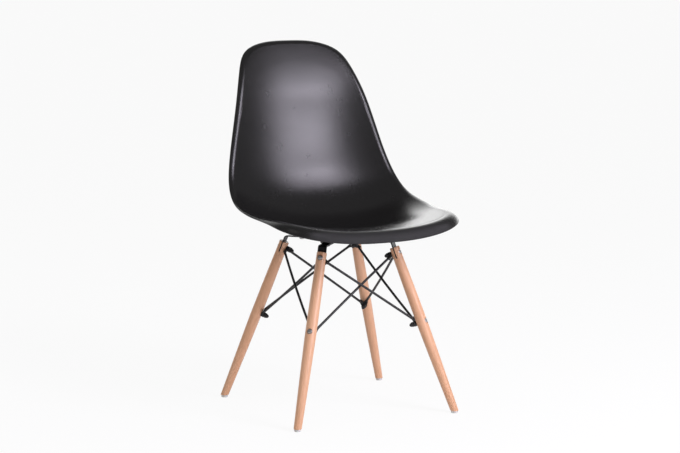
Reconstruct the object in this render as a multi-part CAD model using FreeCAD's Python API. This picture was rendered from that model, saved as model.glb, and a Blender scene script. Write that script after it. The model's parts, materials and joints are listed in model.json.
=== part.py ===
import FreeCAD, Part
import os
from math import atan, cos, pi, radians, sin, sqrt

V = FreeCAD.Vector
ORIGIN, UP, X_AXIS = V(0, 0, 0), V(0, 0, 1), V(1, 0, 0)

# Points round each ruled ring, how far sewn and fused edges may lie apart, a length that cuts through
ring_points = 16
sewn_gap, fused_gap = 0.01, 0.03
through = 40

# Chair frame: sitter faces -Y, right hand is -X, floor is z = 0, millimetres
frame_shift = V(0, -22.55, 0)

# Shell, lofted on stations measured along its middle line from the front lip to the top
stations = [0, 90, 190, 290, 385, 480, 610, 770]
line_y = [-210, -115, -19, 83, 152, 185, 206, 259]
line_z = [429, 424, 405, 417, 473, 555, 684, 813]
side_rise = [26, 30, 46, 51, 45, 42, 40, 29]
rise_width = 210
rise_power = 2.3

# Half of the shell's outline, front middle to top middle: across, along the middle line
half_outline = [(0, 5), (101, 7), (183, 33), (206, 90), (219, 190), (217, 290), (208, 385),
                (191, 480), (159, 610), (137, 692), (112, 746), (60, 774), (0, 779)]
sheet_half_width = 226
sheet_ends = (-4, 790)
sheet_columns, sheet_rows = 12, 18
rim_rays, rim_turns, nose_turns = 96, 3, 3
shell_wall = 4.5
rim_wall = 3.6
lip_length = 170
lip_radius, rim_radius = 22, 6
lip_angle, rim_angle = 88, 85
lip_skirt, rim_skirt = 2.2, 1

# Bosses under the seat and what they hold
boss_inset = 43
boss_top_radius, boss_end_radius, boss_height = 19, 15.5, 20
insert_radius, insert_bore, insert_length = 4.5, 3.05, 11
pocket_depth = 13
groove_depth, groove_width = 0.7, 2
shell_screw_length = 13

# Legs
leg_top = V(90.5, 97.5, 372)
front_foot_x, rear_foot_x, foot_y = 197, 205, 192
leg_cut_height = 5.5
leg_length = 400
head_radius_of_leg, head_length = 11.2, 30
belly_radius, belly_start, belly_end = 12.5, 165, 193
upper_taper = [(90, 12.1)]
lower_taper = [(265, 11.4), (335, 10.0)]
end_radius = 8.6
leg_chamfer = 1.2
slot_depth, slot_width = 26, 3.2
upper_bolt_at, lower_bolt_at = 13.1, 179.0
bolt_hole = 3.25
counterbore_radius = 6.6
head_sunk = 0.1
glide_radius, glide_chamfer = 7.5, 1.1
well_radius, well_depth, pilot_radius = 4.0, 3.2, 1.5
nail_radius, nail_length, nail_head, nail_rim = 1.45, 16, 3.8, 0.9

# Straps
strap_width, strap_thick = 20, 3
strap_middle_height = 385.5
strap_top = strap_middle_height + strap_thick / 2
strap_under = strap_middle_height - strap_thick / 2
strap_bend = 6.5
strap_tab = 24
joggle_inner, joggle_outer = 13, 19

# Fasteners, M6
shank_radius = 2.95
head_radius, head_height = 5.9, 3.3
key_flats, key_depth = 4, 2.0
washer_radius, washer_bore, washer_thick = 6.0, 3.2, 1.6
nut_flats, nut_hex, nut_height = 10, 6.0, 12.0
dome_radius, dome_angles = 4.6, (0, 36, 68)
nut_bore_depth, nut_bore_play, bolt_end_play = 9.0, 0.1, 1.5

# Cross braces
rod_radius = 2.8
eye_radius, eye_bore, eye_thick = 6.2, 3.2, 2.4
rod_start = 12.0
rod_in_eye = 5
rod_plain = 9.0
rod_bow = 2.1
rod_stations = 4


def natural_spline(xs, ys):
    """Cubic spline with free ends through the given stations, as a function."""
    n = len(xs)
    gap = [xs[i + 1] - xs[i] for i in range(n - 1)]
    bend = [0.0] * n
    lower, upper = [0.0] * n, [0.0] * n
    for i in range(1, n - 1):
        slope = (ys[i + 1] - ys[i]) / gap[i] - (ys[i] - ys[i - 1]) / gap[i - 1]
        pivot = 2 * (gap[i - 1] + gap[i]) - gap[i - 1] * upper[i - 1]
        upper[i] = gap[i] / pivot
        lower[i] = (6 * slope - gap[i - 1] * lower[i - 1]) / pivot
    for i in range(n - 2, 0, -1):
        bend[i] = lower[i] - upper[i] * bend[i + 1]

    def value(x):
        i = 0
        while i < n - 2 and x > xs[i + 1]:
            i += 1
        g, a, b = gap[i], xs[i + 1] - x, x - xs[i]
        cubic = (bend[i] * a ** 3 + bend[i + 1] * b ** 3) / (6 * g)
        return cubic + (ys[i] / g - bend[i] * g / 6) * a + (ys[i + 1] / g - bend[i + 1] * g / 6) * b

    return value


middle_y = natural_spline(stations, line_y)
middle_z = natural_spline(stations, line_z)
rise = natural_spline(stations, side_rise)


def closed_outline(half):
    """Smooth closed loop through a half outline and its mirror image; argument runs 0 to 1."""
    loop = half + [(-p, q) for p, q in half[-2:0:-1]]
    wrap = 5
    run = loop[-wrap:] + loop + loop[:wrap + 1]
    knots = [0.0]
    for a, b in zip(run, run[1:]):
        knots.append(knots[-1] + ((b[0] - a[0]) ** 2 + (b[1] - a[1]) ** 2) ** 0.25)
    across = natural_spline(knots, [a[0] for a in run])
    along = natural_spline(knots, [a[1] for a in run])
    first, last = knots[wrap], knots[wrap + len(loop)]

    def value(t):
        k = first + (last - first) * t
        return across(k), along(k)

    return value


outline = closed_outline(half_outline)


def seat_point(p, q):
    """Upper face of the shell at distance p from its middle line and station q."""
    step = 0.5
    ty = middle_y(q + step) - middle_y(q - step)
    tz = middle_z(q + step) - middle_z(q - step)
    lift = rise(q) * (abs(p) / rise_width) ** rise_power / sqrt(ty * ty + tz * tz)
    return V(p, middle_y(q) - tz * lift, middle_z(q) + ty * lift)


def seat_slopes(p, q):
    step = 0.5
    across = seat_point(p + step, q) - seat_point(p - step, q)
    along = seat_point(p, q + step) - seat_point(p, q - step)
    return across, along


def seat_normal(p, q):
    across, along = seat_slopes(p, q)
    return across.cross(along).normalize()


def blend(q):
    """One at the front lip, nought behind it."""
    w = min(max((lip_length - q) / lip_length, 0), 1)
    return w * w * (3 - 2 * w)


def spline_poles(points):
    """Poles, knots and multiplicities of the open spline through evenly placed points."""
    curve = Part.BSplineCurve()
    last = len(points) - 1
    curve.interpolate(Points=points, Parameters=[i / last for i in range(last + 1)])
    return curve.getPoles(), curve.getKnots(), curve.getMultiplicities()


def sheet(depth):
    """Spline surface over the whole flat of the shell, at a depth under the seat face."""
    low, high = sheet_ends
    rows = []
    for j in range(sheet_rows + 1):
        q = low + (high - low) * j / sheet_rows
        points = []
        for i in range(sheet_columns + 1):
            p = sheet_half_width * (2 * i / sheet_columns - 1)
            points.append(seat_point(p, q) - seat_normal(p, q) * depth)
        poles, u_knots, u_mults = spline_poles(points)
        rows.append(poles)
    grid = []
    for column in zip(*rows):
        poles, v_knots, v_mults = spline_poles(list(column))
        grid.append(poles)
    surface = Part.BSplineSurface()
    surface.buildFromPolesMultsKnots(grid, u_mults, v_mults, u_knots, v_knots,
                                     False, False, 3, 3)
    return surface


def rim_section(t):
    """Points from the edge of the seat face over the rolled rim to the edge of the under face."""
    step = 0.002
    p, q = outline(t)
    pa, qa = outline(t - step)
    pb, qb = outline(t + step)
    across, along = seat_slopes(p, q)
    normal = across.cross(along).normalize()
    tangent = (across * (pb - pa) + along * (qb - qa)).normalize()
    outward = tangent.cross(normal)
    w = blend(q)
    radius = rim_radius + (lip_radius - rim_radius) * w
    angle = radians(rim_angle + (lip_angle - rim_angle) * w)
    skirt = rim_skirt + (lip_skirt - rim_skirt) * w
    centre = seat_point(p, q) - normal * radius
    top, under = [], []
    for k in range(rim_turns + 1):
        turn = angle * k / rim_turns
        face = normal * cos(turn) + outward * sin(turn)
        wall = shell_wall + (rim_wall - shell_wall) * k / rim_turns
        top.append(centre + face * radius)
        under.append(centre + face * (radius - wall))
    onward = outward * cos(angle) - normal * sin(angle)
    top[-1] += onward * skirt
    under[-1] += onward * skirt
    middle = (top[-1] + under[-1]) * 0.5
    nose = []
    for k in range(1, nose_turns):
        turn = pi / 2 - pi * k / nose_turns
        nose.append(middle + (onward * cos(turn) + face * sin(turn)) * (rim_wall / 2))
    return top + nose + under[::-1]


def hoop_through(points):
    """Closed smooth curve through points placed evenly round a section."""
    count = len(points)
    curve = Part.BSplineCurve()
    curve.interpolate(Points=points, PeriodicFlag=True,
                      Parameters=[i / count for i in range(count + 1)])
    return curve


def rim_hoops():
    sections = [rim_section(i / rim_rays) for i in range(rim_rays)]
    return [hoop_through(list(points)) for points in zip(*sections)]


def band(a, b):
    """Ruled face between two hoops."""
    poles = [list(pair) for pair in zip(a.getPoles(), b.getPoles())]
    surface = Part.BSplineSurface()
    surface.buildFromPolesMultsKnots(poles, a.getMultiplicities(), [2, 2], a.getKnots(), [0, 1],
                                     True, False, 3, 1)
    return surface.toShape()


def trimmed(surface, hoop):
    face = Part.Face(surface, Part.Wire([hoop.toShape()]))
    face.validate()
    return face


def joined(faces):
    """Solid whose faces are sewn together along their edges."""
    skin = Part.makeCompound(faces)
    skin.sewShape(sewn_gap)
    body = Part.Solid(skin.Shells[0])
    if body.Volume < 0:
        body.reverse()
    return body


def shell_skin():
    """Closed solid of the moulded shell before its bosses."""
    hoops = rim_hoops()
    faces = [band(a, b) for a, b in zip(hoops, hoops[1:])]
    faces.append(trimmed(sheet(0), hoops[0]))
    faces.append(trimmed(sheet(shell_wall), hoops[-1]))
    return joined(faces)


def ring(radius, place):
    """Hoop round the Z axis of a placement."""
    turns = [2 * pi * k / ring_points for k in range(ring_points)]
    return hoop_through([place.multVec(V(radius * cos(a), radius * sin(a), 0)) for a in turns])


def level(z):
    return FreeCAD.Placement(V(0, 0, z), FreeCAD.Rotation())


def banded(hoops):
    """Solid of ruled bands through successive hoops, closed by flat ends."""
    faces = [band(a, b) for a, b in zip(hoops, hoops[1:])]
    faces += [Part.Face(Part.Wire([hoop.toShape()])) for hoop in (hoops[0], hoops[-1])]
    return joined(faces)


def turned(profile):
    """Solid of revolution about Z through (radius, height) points."""
    points = [V(r, 0, z) for r, z in profile]
    face = Part.Face(Part.makePolygon(points + points[:1]))
    return face.revolve(ORIGIN, UP, 360)


def annulus(radius, bore, height, z=0):
    at = V(0, 0, z)
    return Part.makeCylinder(radius, height, at).cut(Part.makeCylinder(bore, height, at))


def hexagon(flats, height):
    corner = flats / sqrt(3)
    points = [V(corner * cos(pi * k / 3), corner * sin(pi * k / 3), 0) for k in range(7)]
    return Part.Face(Part.makePolygon(points)).extrude(V(0, 0, height))


def aimed(shape, direction, at):
    """Copy of a shape made on Z, turned to a direction and moved to a point."""
    copy = shape.copy()
    copy.Placement = FreeCAD.Placement(at, FreeCAD.Rotation(UP, direction)).multiply(copy.Placement)
    return copy


class Corner:
    """Axes of one leg: z runs down the leg, x along its bolts and away from the chair."""

    def __init__(self, side, end):
        self.top = V(side * leg_top.x, end * leg_top.y, leg_top.z)
        self.foot = V(side * (rear_foot_x if end > 0 else front_foot_x), end * foot_y, 0)
        self.down = (self.foot - self.top).normalize()
        self.radial = V(self.top.x, self.top.y, 0).normalize()
        self.tilt = atan(self.down.dot(self.radial) / -self.down.z)
        self.bolt = self.radial * cos(self.tilt) + UP * sin(self.tilt)
        turn = FreeCAD.Rotation(self.bolt, self.down.cross(self.bolt), self.down, "ZXY")
        self.place = FreeCAD.Placement(self.top, turn)

    def put(self, shape):
        copy = shape.copy()
        copy.Placement = self.place.multiply(copy.Placement)
        return copy

    def at(self, down, out):
        return self.top + self.down * down + self.bolt * out

    def on_axis(self, height):
        return self.foot + (self.top - self.foot) * (height / self.top.z)


corners = {"front_right": Corner(-1, -1), "front_left": Corner(1, -1),
           "rear_left": Corner(1, 1), "rear_right": Corner(-1, 1)}


def leg_radius(z):
    return head_radius_of_leg if z < head_length else belly_radius


def head_seat(z):
    return leg_radius(z) - head_height - head_sunk


def foot_ring(start, corner):
    """Hoop where the last taper, begun at (depth, radius), meets the level cut over the glide."""
    points = []
    for k in range(ring_points):
        turn = 2 * pi * k / ring_points
        a = corner.place.multVec(V(start[1] * cos(turn), start[1] * sin(turn), start[0]))
        b = corner.place.multVec(V(end_radius * cos(turn), end_radius * sin(turn), leg_length))
        points.append(a + (b - a) * ((a.z - leg_cut_height) / (a.z - b.z)))
    return hoop_through(points)


def leg_blank(corner):
    """Leg turned from a dowel and sawn level at the foot."""
    head = Part.makeCylinder(head_radius_of_leg, head_length)
    head = head.makeChamfer(leg_chamfer, [edge for edge in head.Edges if edge.BoundBox.ZMax < 0.1])
    belly = Part.makeCylinder(belly_radius, belly_end - belly_start, V(0, 0, belly_start))
    above = [(head_length, head_radius_of_leg)] + upper_taper + [(belly_start, belly_radius)]
    below = [(belly_end, belly_radius)] + lower_taper
    upper = [ring(r, corner.place.multiply(level(z))) for z, r in above]
    lower = [ring(r, corner.place.multiply(level(z))) for z, r in below]
    lower.append(foot_ring(below[-1], corner))
    return corner.put(head).fuse([banded(upper), corner.put(belly), banded(lower)], fused_gap)


def leg(corner):
    cuts = [Part.makeBox(slot_width, through, slot_depth, V(-slot_width / 2, -through / 2, 0))]
    for z in (upper_bolt_at, lower_bolt_at):
        cuts.append(aimed(Part.makeCylinder(bolt_hole, through), X_AXIS, V(-through / 2, 0, z)))
        recess = Part.makeCylinder(counterbore_radius, through)
        cuts.append(aimed(recess, X_AXIS, V(head_seat(z), 0, z)))
    body = leg_blank(corner)
    for cut in cuts:
        body = body.cut(corner.put(cut))
    pilot = Part.makeCylinder(pilot_radius, nail_length - leg_cut_height,
                              corner.on_axis(leg_cut_height))
    return body.cut(pilot)


def glide(corner):
    """Round foot under the sawn end, with a well for the head of its nail."""
    centre = corner.on_axis(leg_cut_height)
    body = turned([(well_radius, 0), (glide_radius - glide_chamfer, 0), (glide_radius, glide_chamfer),
                   (glide_radius, leg_cut_height), (pilot_radius, leg_cut_height),
                   (pilot_radius, well_depth), (well_radius, well_depth)])
    return aimed(body, UP, V(centre.x, centre.y, 0))


def nail(corner):
    centre = corner.on_axis(leg_cut_height)
    end = nail_length - well_depth
    body = turned([(0, 0), (nail_head, 0), (nail_head, nail_rim), (nail_radius, nail_rim),
                   (nail_radius, end), (0, end)])
    return aimed(body, UP, V(centre.x, centre.y, well_depth - nail_rim))


def screw(length, radius=head_radius, height=head_height):
    """Button head socket screw on Z; the head sits on z = 0 and the shank points down."""
    body = turned([(0, -length), (shank_radius, -length), (shank_radius, 0), (radius, 0),
                   (radius, 0.3 * height), (0.82 * radius, 0.75 * height), (0.5 * radius, height),
                   (0, height)])
    key = hexagon(key_flats, key_depth + 1)
    key.translate(V(0, 0, height - key_depth))
    return body.cut(key)


def washer():
    return annulus(washer_radius, washer_bore, washer_thick)


def cap_nut():
    """Domed hexagon nut on Z, its flat face at z = 0."""
    neck = nut_height - dome_radius
    turns = [radians(angle) for angle in dome_angles]
    arc = [(dome_radius * cos(a), neck + dome_radius * sin(a)) for a in turns]
    dome = turned([(0, nut_hex), (dome_radius, nut_hex)] + arc + [(0, arc[-1][1])])
    bore = Part.makeCylinder(shank_radius + nut_bore_play, nut_bore_depth)
    return hexagon(nut_flats, nut_hex).fuse(dome).cut(bore)


def stack(z):
    """Distance from the leg's axis to the wood, the braces and the nut along a bolt."""
    wood = leg_radius(z)
    eyes = wood + washer_thick
    return wood, eyes, eyes + 2 * eye_thick


def leg_bolt(corner, z):
    wood, eyes, nut = stack(z)
    length = head_seat(z) + nut + nut_bore_depth - bolt_end_play
    return aimed(screw(length), corner.bolt, corner.at(z, head_seat(z)))


def leg_washer(corner, z):
    return aimed(washer(), -corner.bolt, corner.at(z, -stack(z)[0]))


def leg_nut(corner, z):
    return aimed(cap_nut(), -corner.bolt, corner.at(z, -stack(z)[2]))


def rounded_path(points, radius):
    """Wire through points with each inner corner rounded to a radius."""
    edges, start = [], points[0]
    for before, here, after in zip(points, points[1:], points[2:]):
        back, on = (before - here).normalize(), (after - here).normalize()
        half = back.getAngle(on) / 2
        reach = radius * cos(half) / sin(half)
        centre = here + (back + on).normalize() * (radius / sin(half))
        a, b = here + back * reach, here + on * reach
        mid = centre + (here - centre).normalize() * radius
        edges += [Part.makeLine(start, a), Part.Arc(a, mid, b).toShape()]
        start = b
    edges.append(Part.makeLine(start, points[-1]))
    return Part.Wire(edges)


def strap(corner, other, joggled):
    """Flat steel bar from one leg slot over the middle to the opposite one."""
    reach = V(leg_top.x, leg_top.y, 0).Length
    middle = strap_middle_height
    ends, knees = [], []
    for tilt in (corner.tilt, other.tilt):
        ends.append((reach + strap_tab * sin(tilt), leg_top.z - strap_tab * cos(tilt)))
        knees.append((reach - (middle - leg_top.z) * (sin(tilt) / cos(tilt)), middle))
    joggle = []
    if joggled:
        low = middle - strap_thick
        joggle = [(joggle_outer, middle), (joggle_inner, low),
                  (-joggle_inner, low), (-joggle_outer, middle)]
    flat = [ends[0], knees[0]] + joggle + [(-r, z) for r, z in (knees[1], ends[1])]
    path = rounded_path([corner.radial * r + UP * z for r, z in flat], strap_bend)
    across = corner.radial.cross(UP) * (strap_width / 2)
    out = corner.bolt * (strap_thick / 2)
    start = corner.radial * ends[0][0] + UP * ends[0][1]
    frame = [start + out + across, start + out - across, start - out - across,
             start - out + across, start + out + across]
    bar = path.makePipeShell([Part.makePolygon(frame)], True, False)
    for end in (corner, other):
        drill = Part.makeCylinder(bolt_hole, 4 * strap_thick)
        hole = aimed(drill, end.bolt, end.at(upper_bolt_at, -2 * strap_thick))
        bore = aimed(drill, UP, boss_centre(end) + UP * (middle - 2 * strap_thick))
        bar = bar.cut(hole).cut(bore)
    return bar


def boss_centre(corner):
    return corner.radial * (V(leg_top.x, leg_top.y, 0).Length - boss_inset)


def rod(a, b, bow):
    """Slightly bowed round rod whose last stretch at each end is straight."""
    chord = b - a
    middle = (a + b) * 0.5 + bow
    outward = chord.cross(bow).normalize()
    path = Part.Arc(a + (middle - a).normalize() * rod_plain, middle,
                    b + (middle - b).normalize() * rod_plain).toShape()
    span = path.LastParameter - path.FirstParameter
    places = []
    for k in range(rod_stations + 1):
        at = path.FirstParameter + span * k / rod_stations
        turn = FreeCAD.Rotation(outward, outward, path.tangentAt(at), "ZXY")
        places.append(FreeCAD.Placement(path.valueAt(at), turn))
    body = banded([ring(rod_radius, place) for place in places])
    stubs = []
    for place, start in ((places[0], -rod_plain), (places[-1], 0)):
        stub = Part.makeCylinder(rod_radius, rod_plain, V(0, 0, start))
        stub.Placement = place.multiply(stub.Placement)
        stubs.append(stub)
    return body.fuse(stubs, fused_gap)


def brace(start, end, layer, bow):
    """Rod from the upper bolt of one leg to the lower bolt of the next, with flattened eyes."""
    eyes = []
    for corner, z in ((start, upper_bolt_at), (end, lower_bolt_at)):
        eyes.append(corner.at(z, -stack(z)[1] - eye_thick * (layer + 0.5)))
    ends, plates, holes = [], [], []
    for corner, here, there in ((start, eyes[0], eyes[1]), (end, eyes[1], eyes[0])):
        run = there - here
        run = (run - corner.bolt * run.dot(corner.bolt)).normalize()
        offset = (rod_radius - eye_thick / 2) * (1 if layer == 0 else -1)
        ends.append(here + run * rod_start + corner.bolt * offset)
        turn = FreeCAD.Rotation(run, corner.bolt.cross(run), corner.bolt, "ZXY")
        tab = eye_plate()
        tab.Placement = FreeCAD.Placement(here - corner.bolt * (eye_thick / 2), turn)
        plates.append(tab)
        drill = Part.makeCylinder(eye_bore, 4 * eye_thick)
        holes.append(aimed(drill, corner.bolt, here - corner.bolt * (2 * eye_thick)))
    body = rod(ends[0], ends[1], bow)
    return body.fuse(plates).cut(holes[0]).cut(holes[1])


def eye_plate():
    """Flattened rod end: an eye tapering to the rod's width, on the XY plane."""
    far = rod_start + rod_in_eye
    lean = (eye_radius - rod_radius) / far
    c = sqrt(1 - lean * lean)
    a, b = V(eye_radius * lean, eye_radius * c, 0), V(far + rod_radius * lean, rod_radius * c, 0)
    c2, d = V(b.x, -b.y, 0), V(a.x, -a.y, 0)
    edges = [Part.Arc(d, V(-eye_radius, 0, 0), a).toShape(), Part.makeLine(a, b),
             Part.makeLine(b, c2), Part.makeLine(c2, d)]
    return Part.Face(Part.Wire(edges)).extrude(V(0, 0, eye_thick))


def shell_body():
    body = shell_skin()
    feet = []
    draft = (boss_top_radius - boss_end_radius) / boss_height
    for corner in corners.values():
        at = boss_centre(corner) + UP * strap_top
        cone = Part.makeCone(boss_end_radius, boss_end_radius + draft * through, through, at)
        pieces = cone.cut(body).Solids
        feet.append(min(pieces, key=lambda piece: piece.CenterOfMass.z))
    body = body.fuse(feet)
    for corner in corners.values():
        at = boss_centre(corner) + UP * strap_top
        body = body.cut(Part.makeCylinder(insert_radius, pocket_depth, at))
    return body


def insert(corner):
    body = annulus(insert_radius, insert_bore, insert_length)
    groove = annulus(insert_radius + 1, insert_radius - groove_depth, groove_width,
                     (insert_length - groove_width) / 2)
    return aimed(body.cut(groove), UP, boss_centre(corner) + UP * strap_top)


def shell_screw(corner):
    at = boss_centre(corner) + UP * (strap_under - washer_thick)
    return aimed(screw(shell_screw_length), -UP, at)


def shell_washer(corner):
    return aimed(washer(), UP, boss_centre(corner) + UP * (strap_under - washer_thick))


def group(maker, *args):
    return Part.makeCompound([maker(corner, *args) for corner in corners.values()])


def build():
    parts = {"seat_shell": shell_body(),
             "threaded_inserts": group(insert),
             "shell_screws": group(shell_screw),
             "shell_washers": group(shell_washer),
             "diagonal_strap_upper": strap(corners["rear_left"], corners["front_right"], False),
             "diagonal_strap_joggled": strap(corners["rear_right"], corners["front_left"], True)}
    for name, corner in corners.items():
        parts["leg_" + name] = leg(corner)
        parts["glide_" + name] = glide(corner)
    parts["glide_nails"] = group(nail)
    for row, z in (("upper", upper_bolt_at), ("lower", lower_bolt_at)):
        parts[row + "_leg_bolts"] = group(leg_bolt, z)
        parts[row + "_leg_washers"] = group(leg_washer, z)
        parts[row + "_cap_nuts"] = group(leg_nut, z)
    order = ["rear_right", "front_right", "front_left", "rear_left"]
    sides = {"right": V(-1, 0, 0), "front": V(0, -1, 0), "left": V(1, 0, 0), "rear": V(0, 1, 0)}
    for (side, outward), first, second in zip(sides.items(), order, order[1:] + order[:1]):
        bow = outward * rod_bow
        a, b = corners[first], corners[second]
        parts["brace_" + side + "_outer"] = brace(a, b, 0, bow)
        parts["brace_" + side + "_inner"] = brace(b, a, 1, -bow)
    return parts


os.makedirs("parts", exist_ok=True)
for name, shape in build().items():
    shape.translate(frame_shift)
    shape.exportStep("parts/" + name + ".step")
    print(name, shape.isValid(), len(shape.Solids), round(shape.Volume))
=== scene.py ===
import json
from math import cos, exp, pi, radians, sin, sqrt

import bpy
from mathutils import Matrix, Vector


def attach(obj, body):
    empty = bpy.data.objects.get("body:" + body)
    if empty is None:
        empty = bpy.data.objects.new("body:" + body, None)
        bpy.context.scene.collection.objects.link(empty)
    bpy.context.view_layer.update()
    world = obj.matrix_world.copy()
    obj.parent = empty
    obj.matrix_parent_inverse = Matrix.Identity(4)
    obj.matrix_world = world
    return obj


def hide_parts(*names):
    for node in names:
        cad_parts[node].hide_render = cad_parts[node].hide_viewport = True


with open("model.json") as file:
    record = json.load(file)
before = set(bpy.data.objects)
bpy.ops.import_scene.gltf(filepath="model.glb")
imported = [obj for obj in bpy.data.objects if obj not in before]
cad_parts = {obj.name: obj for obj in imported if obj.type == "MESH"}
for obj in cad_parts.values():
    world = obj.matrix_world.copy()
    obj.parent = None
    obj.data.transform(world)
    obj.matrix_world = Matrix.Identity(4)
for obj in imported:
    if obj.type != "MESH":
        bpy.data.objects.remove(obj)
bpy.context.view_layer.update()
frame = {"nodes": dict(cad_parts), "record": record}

nodes = frame["nodes"]
ORIGIN, UP, FRONT = Vector((0, 0, 0)), Vector((0, 0, 1)), Vector((0, -1, 0))

# Camera, fitted to the feet, leg tops and bolts of the photograph
MM = 0.001
view_azimuth = radians(-26.55)
view_elevation = radians(7.97)
view_roll = radians(-0.065)
view_distance = 4.510
view_target = Vector((-0.0031, -0.03465, 0.4138))
sensor_width = 36.0
lens_length = 105.67
camera_reach = 100


def add_camera():
    """Camera at the photograph's angle, rolled a little about its line of sight."""
    back = Vector((sin(view_azimuth) * cos(view_elevation),
                   -cos(view_azimuth) * cos(view_elevation), sin(view_elevation)))
    level = Vector((cos(view_azimuth), sin(view_azimuth), 0))
    upright = back.cross(level)
    right = level * cos(view_roll) + upright * sin(view_roll)
    up = upright * cos(view_roll) - level * sin(view_roll)
    data = bpy.data.cameras.new("camera")
    data.sensor_width = sensor_width
    data.lens = lens_length
    data.clip_end = camera_reach
    camera = bpy.data.objects.new("camera", data)
    place = Matrix((right, up, back)).transposed().to_4x4()
    place.translation = view_target + back * view_distance
    camera.matrix_world = place
    bpy.context.collection.objects.link(camera)
    bpy.context.scene.camera = camera


# Node expressions for the finishes
class Wire:
    """A node's output socket; arithmetic on it adds the nodes that work it out."""

    def __init__(self, nodes, socket):
        self.nodes = nodes
        self.socket = socket

    def math(self, operation, *values):
        return self.nodes.node("ShaderNodeMath", {"operation": operation},
                               dict(enumerate(values)))

    def __add__(self, other):
        return self.math("ADD", self, other)

    def __sub__(self, other):
        return self.math("SUBTRACT", self, other)

    def __rsub__(self, other):
        return self.math("SUBTRACT", other, self)

    def __mul__(self, other):
        return self.math("MULTIPLY", self, other)

    __radd__ = __add__
    __rmul__ = __mul__


class Nodes:
    """Adds nodes to one node tree."""

    def __init__(self, tree):
        self.tree = tree

    def node(self, kind, settings, inputs, output=0):
        """New node with its settings, then the values or links of its sockets; gives one output."""
        made = self.tree.nodes.new(kind)
        for name, value in settings.items():
            if name == "stops":
                ramp = made.color_ramp
                while len(ramp.elements) < len(value):
                    ramp.elements.new(0.5)
                for element, (position, colour) in zip(ramp.elements, value):
                    element.position = position
                    element.color = (*colour, 1)
            else:
                setattr(made, name, value)
        for name, value in inputs.items():
            socket = made.inputs[name]
            if isinstance(value, Wire):
                self.tree.links.new(value.socket, socket)
            else:
                socket.default_value = value
        return Wire(self, made.outputs[output])

    def fade(self, value, low, high, start=0.0, end=1.0):
        """Smooth passage from a start to an end while the value goes from low to high."""
        return self.node("ShaderNodeMapRange", {"interpolation_type": "SMOOTHSTEP"},
                         {"Value": value, "From Min": low, "From Max": high,
                          "To Min": start, "To Max": end})

    def ray(self, kind):
        return self.node("ShaderNodeLightPath", {}, {}, kind)


class Finish(Nodes):
    """One material: its shader, and the nodes that vary it over the surface."""

    def __init__(self, name, **fixed):
        self.material = bpy.data.materials.new(name)
        self.material.use_nodes = True
        super().__init__(self.material.node_tree)
        self.shader = self.tree.nodes["Principled BSDF"]
        self.place = self.node("ShaderNodeTexCoord", {}, {}, "Object")
        for socket, value in fixed.items():
            self.shader.inputs[socket.replace("_", " ")].default_value = value

    def noise(self, scale, detail, roughness=0.5, where=None):
        return self.node("ShaderNodeTexNoise", {},
                         {"Vector": where or self.place, "Scale": scale, "Detail": detail,
                          "Roughness": roughness})

    def cells(self, where):
        return self.node("ShaderNodeTexVoronoi", {"feature": "F1"},
                         {"Vector": where, "Scale": 1.0}, "Distance")

    def ramp(self, value, *stops):
        return self.node("ShaderNodeValToRGB", {"stops": stops}, {"Fac": value})

    def mix(self, share, a, b):
        return self.node("ShaderNodeMix", {"data_type": "RGBA"}, {0: share, 6: a, 7: b}, 2)

    def along(self, origin, axis):
        """How far a point lies from an origin along an axis."""
        away = self.node("ShaderNodeVectorMath", {"operation": "SUBTRACT"},
                         {0: self.place, 1: tuple(origin)})
        return self.node("ShaderNodeVectorMath", {"operation": "DOT_PRODUCT"},
                         {0: away, 1: tuple(axis)}, "Value")

    def point(self, x, y, z):
        return self.node("ShaderNodeCombineXYZ", {}, {0: x, 1: y, 2: z})

    def drive(self, socket, value):
        self.tree.links.new(value.socket, self.shader.inputs[socket])

    def bump(self, height, distance, strength):
        self.drive("Normal", self.node("ShaderNodeBump", {}, {
            "Strength": strength, "Distance": distance, "Height": height}))


def grey(level, red=1.0, green=1.0, blue=1.0):
    """Grey of one level, its channels weighted for a slight cast."""
    return (level * red, level * green, level * blue, 1)


def shell_plastic():
    """Black moulded plastic: etched grain, the odd rub mark, and a duller front lip."""
    f = Finish("shell_plastic", IOR=1.5)
    grain = f.noise(scale=230, detail=3, roughness=0.7)
    fine = f.noise(scale=1700, detail=2)
    cloud = f.noise(scale=7, detail=3)
    rubbed = f.fade(f.noise(scale=26, detail=4, roughness=0.7), low=0.60, high=0.78)
    specks = f.fade(grain, low=0.52, high=0.74)
    lip = f.fade(f.along(ORIGIN, FRONT), low=0.222, high=0.242)
    black, speck = grey(0.0075, 1.04, 1.0, 1.0), grey(0.018, 1.02, 0.98, 1.02)
    warm = grey(0.011, 1.08, 1.0, 0.96)
    f.drive("Base Color", f.mix(cloud * 0.35, f.mix(specks * 0.65, black, speck), warm))
    f.drive("Roughness", 0.20 + cloud * 0.05 + grain * 0.06 + rubbed * 0.05 + lip * 0.45)
    f.bump(grain * 0.85 + fine * 0.15, distance=0.0005, strength=0.5)
    return f.material


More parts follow.
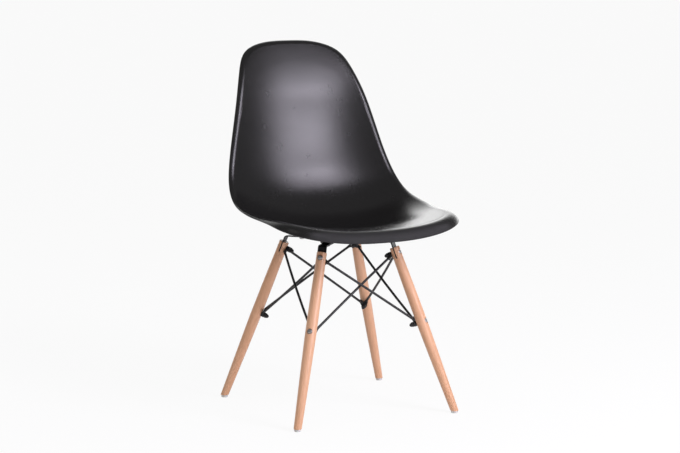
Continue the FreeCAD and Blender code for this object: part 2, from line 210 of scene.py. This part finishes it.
def beech(name, top, foot, seed):
    """Lacquered beech turned along a leg: straight grain, short ray flecks, faint rings."""
    f = Finish(name, Coat_Roughness=0.28, Coat_IOR=1.45)
    axis = (foot - top).normalized()
    side = axis.cross(UP).normalized()
    down = f.along(top, axis)
    x = f.along(top, side)
    y = f.along(top, axis.cross(side))

    def wood(across, lengthwise, shift=0):
        """Place in the wood, with its own scale across the grain and along it."""
        return f.point(x * across + shift, y * across, down * lengthwise + seed)

    wander = f.noise(scale=1, detail=2, where=wood(9, 3.5))
    tone = f.noise(scale=1, detail=3, roughness=0.55, where=wood(70, 2.2, wander * 2))
    grain = f.noise(scale=1, detail=3, roughness=0.6, where=wood(900, 16))
    flecks = f.fade(f.cells(wood(1500, 230)), low=0.30, high=0.10)
    patch = f.fade(f.noise(scale=1, detail=2, where=wood(40, 6)), low=0.35, high=0.65)
    ring = x * 260 + wander * 5 + y * 40
    ring = ring.math("SINE", ring) * 0.5 + 0.5
    ends = f.fade(down, low=0.004, high=0.0)
    dark, middle, pale = (0.60, 0.310, 0.165), (0.70, 0.388, 0.225), (0.78, 0.468, 0.300)
    grain_brown, ring_brown = (0.50, 0.235, 0.115, 1), (0.55, 0.27, 0.14, 1)
    fleck_brown, end_brown = (0.40, 0.175, 0.080, 1), (0.30, 0.14, 0.07, 1)
    colour = f.ramp(tone, (0.22, dark), (0.50, middle), (0.80, pale))
    colour = f.mix(f.fade(grain, low=0.45, high=0.78) * 0.34, colour, grain_brown)
    colour = f.mix(ring * 0.13, colour, ring_brown)
    colour = f.mix(flecks * patch * 0.42, colour, fleck_brown)
    f.drive("Base Color", f.mix(ends * 0.35, colour, end_brown))
    f.drive("Roughness", 0.44 + grain * 0.12)
    f.drive("Coat Weight", 0.30 - flecks * 0.10 + tone * 0.1)
    f.bump(grain * 0.6 - flecks * 0.5, distance=0.00012, strength=0.5)
    return f.material


def black_metal():
    """Satin black coating on steel, a little thin and bright where it rubs."""
    f = Finish("black_metal", IOR=1.5)
    skin = f.noise(scale=1500, detail=3)
    cloud = f.noise(scale=60, detail=3)
    rub = f.fade(f.noise(scale=240, detail=4, roughness=0.65), low=0.64, high=0.74)
    coating, worn = grey(0.010), grey(0.055, 1.02, 1, 0.98)
    f.drive("Base Color", f.mix(rub * 0.5, coating, worn))
    f.drive("Roughness", 0.36 + cloud * 0.16 - rub * 0.06)
    f.bump(skin, distance=0.00006, strength=0.45)
    return f.material


def bright_steel():
    """Zinc-bright fasteners with turning marks and dull spots."""
    f = Finish("bright_steel", Metallic=1.0)
    spot = f.noise(scale=420, detail=3)
    dull, bright = grey(0.42), grey(0.66, 1.0, 0.99, 0.97)
    f.drive("Base Color", f.mix(spot, dull, bright))
    f.drive("Roughness", 0.22 + spot * 0.22)
    f.bump(f.noise(scale=2600, detail=2), distance=0.00003, strength=0.5)
    return f.material


def turned_brass():
    """Plain turned brass, slightly tarnished in spots."""
    f = Finish("insert_brass", Metallic=1.0)
    spot = f.noise(scale=500, detail=3)
    tarnished, clean = (0.50, 0.34, 0.13, 1), (0.74, 0.56, 0.26, 1)
    f.drive("Base Color", f.mix(spot, tarnished, clean))
    f.drive("Roughness", 0.24 + spot * 0.2)
    f.bump(f.noise(scale=3000, detail=2), distance=0.00003, strength=0.5)
    return f.material


def glide_plastic():
    """Milky glides, scuffed and greyed where they slide on the floor."""
    f = Finish("glide_plastic", IOR=1.5, Subsurface_Weight=0.15, Subsurface_Scale=0.004)
    cloud = f.noise(scale=300, detail=3)
    low = f.fade(f.along(ORIGIN, UP), low=0.003, high=0.0)
    scuff = f.fade(f.noise(scale=900, detail=4, roughness=0.7), low=0.50, high=0.70) * low
    milky, yellowed = grey(0.66, 1, 1, 0.97), grey(0.56, 1, 0.98, 0.94)
    dirt = grey(0.24, 1, 0.96, 0.9)
    f.drive("Base Color", f.mix(scuff * 0.6, f.mix(cloud * 0.5, milky, yellowed), dirt))
    f.drive("Roughness", 0.42 + scuff * 0.3)
    f.bump(cloud + scuff, distance=0.00008, strength=0.5)
    return f.material


# Moulded shell, from the same driving sizes as the solid, in millimetres
frame_shift = Vector((0, -22.55, 0))
stations = [0, 90, 190, 290, 385, 480, 610, 770]
line_y = [-210, -115, -19, 83, 152, 185, 206, 259]
line_z = [429, 424, 405, 417, 473, 555, 684, 813]
side_rise = [26, 30, 46, 51, 45, 42, 40, 29]
rise_width, rise_power = 210, 2.3
half_outline = [(0, 5), (101, 7), (183, 33), (206, 90), (219, 190), (217, 290), (208, 385),
                (191, 480), (159, 610), (137, 692), (112, 746), (60, 774), (0, 779)]
shell_wall, rim_wall, lip_length = 4.5, 3.6, 170
lip_radius, rim_radius = 22, 6
lip_angle, rim_angle = 88, 85
lip_skirt = 2.2
leg_top = Vector((90.5, 97.5, 372))
front_foot_x, rear_foot_x, foot_y = 197, 205, 192
boss_inset, strap_top = 43, 387
boss_top_radius, boss_end_radius, boss_height = 19, 15.5, 20
insert_radius, pocket_depth = 4.5, 13
corner_signs = {"front_right": (-1, -1), "front_left": (1, -1),
                "rear_left": (1, 1), "rear_right": (-1, 1)}
mid_station = 380
slope_step, outline_step = 0.5, 0.002


def natural_spline(xs, ys):
    """Cubic spline with free ends through the given stations, as a function."""
    n = len(xs)
    gap = [xs[i + 1] - xs[i] for i in range(n - 1)]
    bend = [0.0] * n
    lower, upper = [0.0] * n, [0.0] * n
    for i in range(1, n - 1):
        slope = (ys[i + 1] - ys[i]) / gap[i] - (ys[i] - ys[i - 1]) / gap[i - 1]
        pivot = 2 * (gap[i - 1] + gap[i]) - gap[i - 1] * upper[i - 1]
        upper[i] = gap[i] / pivot
        lower[i] = (6 * slope - gap[i - 1] * lower[i - 1]) / pivot
    for i in range(n - 2, 0, -1):
        bend[i] = lower[i] - upper[i] * bend[i + 1]

    def value(x):
        i = 0
        while i < n - 2 and x > xs[i + 1]:
            i += 1
        g, a, b = gap[i], xs[i + 1] - x, x - xs[i]
        cubic = (bend[i] * a ** 3 + bend[i + 1] * b ** 3) / (6 * g)
        left = ys[i] / g - bend[i] * g / 6
        right = ys[i + 1] / g - bend[i + 1] * g / 6
        return cubic + left * a + right * b

    return value


middle_y = natural_spline(stations, line_y)
middle_z = natural_spline(stations, line_z)
rise = natural_spline(stations, side_rise)


def closed_outline(half):
    """Smooth closed loop through a half outline and its mirror image; argument runs 0 to 1."""
    loop = half + [(-p, q) for p, q in half[-2:0:-1]]
    wrap = 5  # points repeated at each end, so that the free ends don't show
    run = loop[-wrap:] + loop + loop[:wrap + 1]
    knots = [0.0]
    for a, b in zip(run, run[1:]):
        knots.append(knots[-1] + ((b[0] - a[0]) ** 2 + (b[1] - a[1]) ** 2) ** 0.25)
    across = natural_spline(knots, [a[0] for a in run])
    along = natural_spline(knots, [a[1] for a in run])
    first, last = knots[wrap], knots[wrap + len(loop)]

    def value(t):
        k = first + (last - first) * t
        return across(k), along(k)

    return value


outline = closed_outline(half_outline)


def seat_point(p, q):
    """Upper face of the shell at distance p from its middle line and station q."""
    ty = middle_y(q + slope_step) - middle_y(q - slope_step)
    tz = middle_z(q + slope_step) - middle_z(q - slope_step)
    lift = rise(q) * (abs(p) / rise_width) ** rise_power / sqrt(ty * ty + tz * tz)
    return Vector((p, middle_y(q) - tz * lift, middle_z(q) + ty * lift))


def seat_slopes(p, q):
    """Directions of the upper face across the chair and along its middle line."""
    across = seat_point(p + slope_step, q) - seat_point(p - slope_step, q)
    along = seat_point(p, q + slope_step) - seat_point(p, q - slope_step)
    return across, along


def seat_normal(p, q):
    """Square to the upper face, towards the sitter."""
    across, along = seat_slopes(p, q)
    return across.cross(along).normalized()


def blend(q):
    """One at the front lip, nought behind it."""
    w = min(max((lip_length - q) / lip_length, 0), 1)
    return w * w * (3 - 2 * w)


# The visible shell: its mesh, the shallow groove behind the lip and the softer side roll
shell_rays = 240
inner_rings, wide_rings = 34, 30
near_rim = (14, 12.5, 11, 9.5, 8, 6.5, 5, 3.5, 2, 0)
groove_at, groove_width, groove_depth = 7, 2.2, 0.35
softer_radius, softer_inset, softer_angle = 10, 6.8, 32
roll_steps, nose_steps = 12, 8


def shell_section(t):
    """One ray of the shell: from the middle over the seat face, the rim and back underneath."""
    p1, q1 = outline(t)
    w = blend(q1)
    inset = softer_inset * (1 - w)
    ray = sqrt(p1 * p1 + (q1 - mid_station) ** 2)
    shares = [(k / inner_rings, 0) for k in range(1, wide_rings)]
    for away in near_rim:
        groove = groove_depth * w * exp(-((away - groove_at) / groove_width) ** 2)
        shares.append((1 - (away + inset) / ray, groove))
    top, under = [], []
    for share, groove in shares:
        p, q = p1 * share, mid_station + (q1 - mid_station) * share
        here = seat_point(p, q)
        normal = seat_normal(p, q)
        top.append(here - normal * groove)
        under.append(here - normal * shell_wall)
    pa, qa = outline(t - outline_step)
    pb, qb = outline(t + outline_step)
    across, along = seat_slopes(p1, q1)
    normal = across.cross(along).normalized()
    tangent = (across * (pb - pa) + along * (qb - qa)).normalized()
    outward = tangent.cross(normal)
    side_radius, side_angle = rim_radius + softer_radius, rim_angle - softer_angle
    radius = side_radius + (lip_radius - side_radius) * w
    angle = radians(side_angle + (lip_angle - side_angle) * w)
    skirt = lip_skirt * w
    centre = seat_point(p1, q1) - outward * inset - normal * radius
    for k in range(1, roll_steps + 1):
        turn = angle * k / roll_steps
        face = normal * cos(turn) + outward * sin(turn)
        wall = shell_wall + (rim_wall - shell_wall) * k / roll_steps
        top.append(centre + face * radius)
        under.append(centre + face * (radius - wall))
    onward = outward * cos(angle) - normal * sin(angle)
    top[-1] += onward * skirt
    under[-1] += onward * skirt
    middle = (top[-1] + under[-1]) * 0.5
    nose = []
    for k in range(1, nose_steps):
        turn = pi / 2 - pi * k / nose_steps
        nose.append(middle + (onward * cos(turn) + face * sin(turn)) * (rim_wall / 2))
    return top + nose + under[::-1]


def add_mesh(name, points, faces, material):
    """Piece of the scene from points in chair millimetres, riding on the chair."""
    mesh = bpy.data.meshes.new(name)
    mesh.from_pydata([(p + frame_shift) * MM for p in points], [], faces)
    mesh.materials.append(material)
    mesh.shade_smooth()
    mesh.validate()
    piece = bpy.data.objects.new(name, mesh)
    bpy.context.collection.objects.link(piece)
    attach(piece, "root")
    return piece


boss_turns = 64
boss_flare, flare_height, root_depth = 3.0, 4.0, 1.0
flare_out, flare_up = 0.3, 0.25
pocket_chamfer, end_chamfer = 0.4, 0.6
halvings, settling_rounds = 30, 4


def wall_height(x, y):
    """Height of the middle of the seat's wall over a point of the floor."""
    low, high = 0, mid_station
    for _ in range(halvings):
        q = (low + high) / 2
        if seat_point(x, q).y < y:
            low = q
        else:
            high = q
    return seat_point(x, q).z - shell_wall / 2


def boss_rings(centre):
    """Rings of one boss, from the bottom of its pocket round its rim and up into the wall."""
    draft = (boss_top_radius - boss_end_radius) / boss_height
    level = strap_top
    straight = [(insert_radius, level + pocket_depth), (insert_radius, level + pocket_chamfer),
                (insert_radius + pocket_chamfer, level), (boss_end_radius - end_chamfer, level),
                (boss_end_radius, level + end_chamfer)]
    foot, flare, root = [], [], []
    for k in range(boss_turns):
        turn = 2 * pi * k / boss_turns
        away = Vector((cos(turn), sin(turn), 0))
        radius = boss_top_radius
        for _ in range(settling_rounds):
            top = wall_height(*(centre + away * radius).xy)
            radius = boss_end_radius + draft * (top - level)
        under = top - shell_wall / 2
        wide = radius + boss_flare
        foot.append((radius - draft * flare_height, under - flare_height))
        flare.append((radius + flare_out * boss_flare, under - flare_up * flare_height))
        root.append((wide, wall_height(*(centre + away * wide).xy) - root_depth))
    return [[corner] * boss_turns for corner in straight] + [foot, flare, root]


def boss(centre, start):
    """Points and faces of one boss, its points counted from a start."""
    rings = boss_rings(centre)
    points = []
    for ring in rings:
        for k, (radius, height) in enumerate(ring):
            turn = 2 * pi * k / boss_turns
            points.append(centre + Vector((radius * cos(turn), radius * sin(turn), height)))
    points.append(centre + UP * (strap_top + pocket_depth))
    points.append(centre + UP * wall_height(centre.x, centre.y))
    faces = []
    for i in range(boss_turns):
        j = (i + 1) % boss_turns
        for k in range(len(rings) - 1):
            a, b = start + k * boss_turns, start + (k + 1) * boss_turns
            faces.append((a + i, a + j, b + j, b + i))
        faces.append((start + len(points) - 2, start + j, start + i))
        last = start + (len(rings) - 1) * boss_turns
        faces.append((start + len(points) - 1, last + i, last + j))
    return points, faces


def shell_moulding(material):
    """The shell with both faces, its rolled rim and its bosses."""
    rays = [shell_section(i / shell_rays) for i in range(shell_rays)]
    rings = len(rays[0])
    points = [point for ray in rays for point in ray]
    hub_top = len(points)
    points.append(seat_point(0, mid_station))
    points.append(seat_point(0, mid_station) - seat_normal(0, mid_station) * shell_wall)
    faces = []
    for i in range(shell_rays):
        a, b = i * rings, (i + 1) % shell_rays * rings
        for k in range(rings - 1):
            faces.append((a + k, b + k, b + k + 1, a + k + 1))
        faces.append((hub_top, b, a))
        faces.append((hub_top + 1, a + rings - 1, b + rings - 1))
    faces = [face[::-1] for face in faces]
    reach = 1 - boss_inset / leg_top.xy.length
    for side, end in corner_signs.values():
        centre = Vector((side * leg_top.x * reach, end * leg_top.y * reach, 0))
        more_points, more_faces = boss(centre, len(points))
        points += more_points
        faces += more_faces
    return add_mesh("seat_shell_moulding", points, faces, material)


# Floor and light
floor_reach, floor_glow = 40, 0.9
behind_chair = (0.44, 0.88, -0.25)
behind_from, behind_full = 0.40, 0.90
lamp_aim = Vector((0, 0, 0.5))


def add_floor():
    """Pale floor that the camera sees almost as white, with the chair's shadow."""
    f = Finish("pale_floor", Roughness=0.9, Specular_IOR_Level=0.1)
    f.drive("Base Color", f.mix(f.noise(scale=3, detail=3), grey(0.93), grey(0.96)))
    glow = f.node("ShaderNodeEmission", {}, {"Color": (1, 1, 1, 1), "Strength": 1.0})
    seen = f.ray("Is Camera Ray") * floor_glow
    mixed = f.node("ShaderNodeMixShader", {}, {0: seen, 1: Wire(f, f.shader.outputs[0]), 2: glow})
    f.tree.links.new(mixed.socket, f.tree.nodes["Material Output"].inputs["Surface"])
    far = floor_reach
    mesh = bpy.data.meshes.new("floor")
    mesh.from_pydata([(-far, -far, 0), (far, -far, 0), (far, far, 0), (-far, far, 0)], [],
                     [(0, 1, 2, 3)])
    mesh.materials.append(f.material)
    floor = bpy.data.objects.new("floor", mesh)
    bpy.context.collection.objects.link(floor)


def add_world(diffuse, before, behind):
    """White surroundings; shiny surfaces see them dimmer before the chair than behind it."""
    world = bpy.data.worlds.new("studio")
    world.use_nodes = True
    w = Nodes(world.node_tree)
    direction = w.node("ShaderNodeTexCoord", {}, {}, "Generated")
    facing = w.node("ShaderNodeVectorMath", {"operation": "DOT_PRODUCT"},
                    {0: direction, 1: behind_chair}, "Value")
    shiny = w.fade(facing, behind_from, behind_full, before, behind)
    lit = w.node("ShaderNodeMix", {}, {0: w.ray("Is Glossy Ray"), 2: diffuse, 3: shiny})
    seen = w.node("ShaderNodeMix", {}, {0: w.ray("Is Camera Ray"), 2: lit, 3: 1.0})
    background = w.tree.nodes["Background"]
    background.inputs["Color"].default_value = (1, 1, 1, 1)
    w.tree.links.new(seen.socket, background.inputs["Strength"])
    bpy.context.scene.world = world


def add_light(name, direction, distance, width, height, radiance, tint):
    """Soft box in a direction from the chair, of the radiance asked for."""
    data = bpy.data.lights.new(name, "AREA")
    data.shape = "RECTANGLE"
    data.size, data.size_y = width, height
    data.energy = radiance * width * height * pi
    data.color = tint
    lamp = bpy.data.objects.new(name, data)
    away = Vector(direction).normalized()
    turn = away.to_track_quat("Z", "Y").to_matrix().to_4x4()
    lamp.matrix_world = Matrix.Translation(lamp_aim + away * distance) @ turn
    bpy.context.collection.objects.link(lamp)


add_camera()
add_floor()
add_world(0.52, 0.20, 2.7)
violet, warm_white = (0.92, 0.87, 1.0), (1.0, 0.97, 0.93)
front_distance, left_distance = 2.6, 2.8
add_light("front_softbox", (0.444, -0.90, 0.49), front_distance, 1.15, 2.30, 6.0, violet)
add_light("low_front_lamp", (0.40, -0.92, 0.17), front_distance, 0.50, 0.30, 15.0, violet)
add_light("high_front_lamp", (0.42, -0.83, 0.58), front_distance, 0.50, 0.40, 10.0, violet)
add_light("left_softbox", (-0.80, -0.30, 0.75), left_distance, 1.6, 1.6, 0.4, warm_white)

plastic = shell_plastic()
shell = shell_moulding(plastic)
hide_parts("seat_shell")

by_slot = {"black_metal": black_metal(), "bright_steel": bright_steel(),
           "insert_brass": turned_brass(), "glide_plastic": glide_plastic(),
           "shell_plastic": plastic}
seed_step = 3.7  # keeps the legs' wood patterns apart
slots = {part["node"]: part["material_slot"] for part in frame["record"]["subparts"]}
for seed, (corner, (side, end)) in enumerate(corner_signs.items()):
    top = (leg_top * Vector((side, end, 1)) + frame_shift) * MM
    foot_x = rear_foot_x if end > 0 else front_foot_x
    foot = (Vector((side * foot_x, end * foot_y, 0)) + frame_shift) * MM
    by_slot["leg_" + corner] = beech("beech_" + corner, top, foot, seed * seed_step)
for name, node in nodes.items():
    finish = by_slot.get(name) or by_slot[slots[name]]
    for holder in node.material_slots:
        holder.material = finish

bpy.context.scene.view_settings.view_transform = "Standard"
